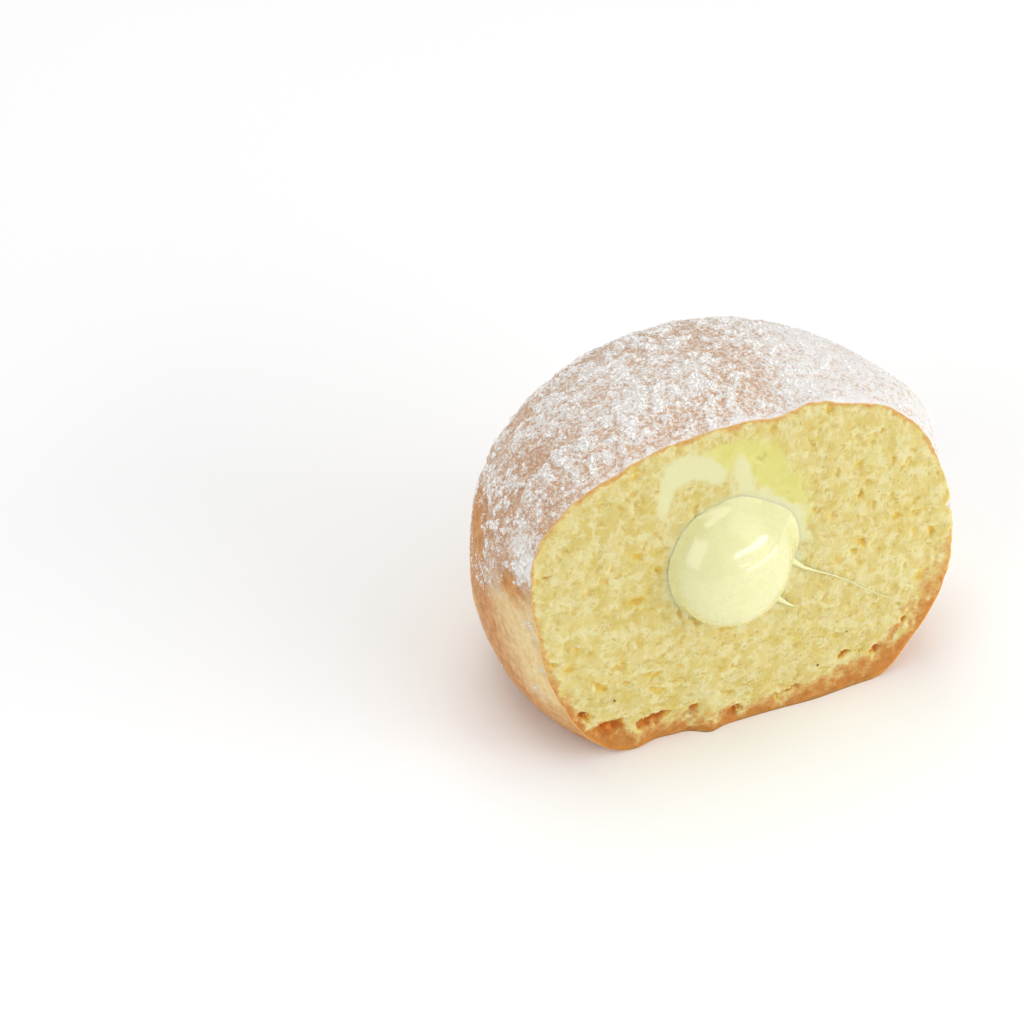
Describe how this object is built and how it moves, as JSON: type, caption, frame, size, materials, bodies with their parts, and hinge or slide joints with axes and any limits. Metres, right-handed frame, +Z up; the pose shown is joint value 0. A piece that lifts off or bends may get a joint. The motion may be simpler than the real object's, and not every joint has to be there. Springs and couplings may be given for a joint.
{
  "type": "mini doughnut",
  "caption": "Small round filled doughnut with its front cut away, showing yellow crumb and a drop of pale custard cream under a dusting of icing sugar.",
  "frame": {"origin": "where the bun's own axis meets the table, on the flat underside", "axes": "+Z up; the cut face looks towards -Y; +X runs along the cut, to the right as one looks at it"},
  "size_m": [0.0606, 0.0464, 0.041],
  "materials": {
    "dough": "fried golden crust over soft yellow crumb, matte",
    "cream": "smooth wet custard cream, glossy",
    "sugar": "fine dry icing sugar, matte"
  },
  "bodies": {
    "root": {"dough": "dough", "cream": "cream"}
  },
  "joints": []
}
